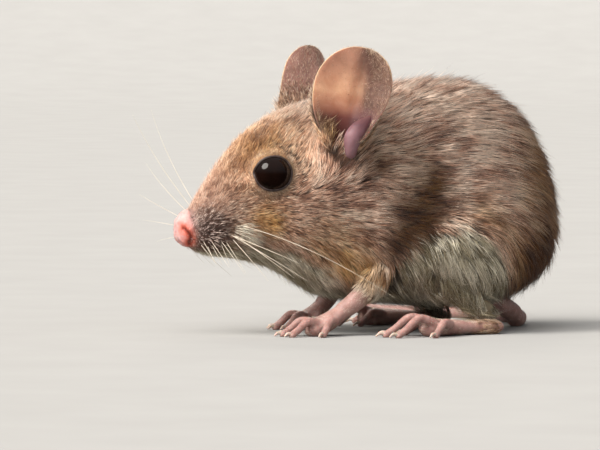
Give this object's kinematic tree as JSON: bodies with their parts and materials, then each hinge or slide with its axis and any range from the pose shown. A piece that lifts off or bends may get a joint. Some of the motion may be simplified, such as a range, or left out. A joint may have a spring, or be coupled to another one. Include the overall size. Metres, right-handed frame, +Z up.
{
  "type": "field mouse",
  "caption": "Life-size wood mouse crouching on all four feet, with large eyes and ears, brown back, grey-white belly and a long tail laid on the floor.",
  "frame": {"origin": "on the floor, under the middle of the whole object's box", "axes": "+Z up; the mouse faces -Y and its left side is towards +X; the tail is laid towards -X"},
  "size_m": [0.0858, 0.0604, 0.0428],
  "materials": {
    "coat": "matte",
    "bare_skin": "satin",
    "ear_skin": "satin",
    "eye": "gloss"
  },
  "bodies": {
    "root": {"nose": "bare_skin", "head": "coat", "neck": "coat", "trunk": "coat", "eye_left": "eye", "eye_right": "eye", "ear_left": "ear_skin", "ear_right": "ear_skin", "foreleg_left": "coat", "foreleg_right": "coat", "forefoot_left": "bare_skin", "forefoot_right": "bare_skin", "hindleg_left": "coat", "hindleg_right": "coat", "hindfoot_left": "bare_skin", "hindfoot_right": "bare_skin", "tail_1": "bare_skin", "tail_2": "bare_skin", "tail_3": "bare_skin", "tail_4": "bare_skin"}
  },
  "joints": []
}
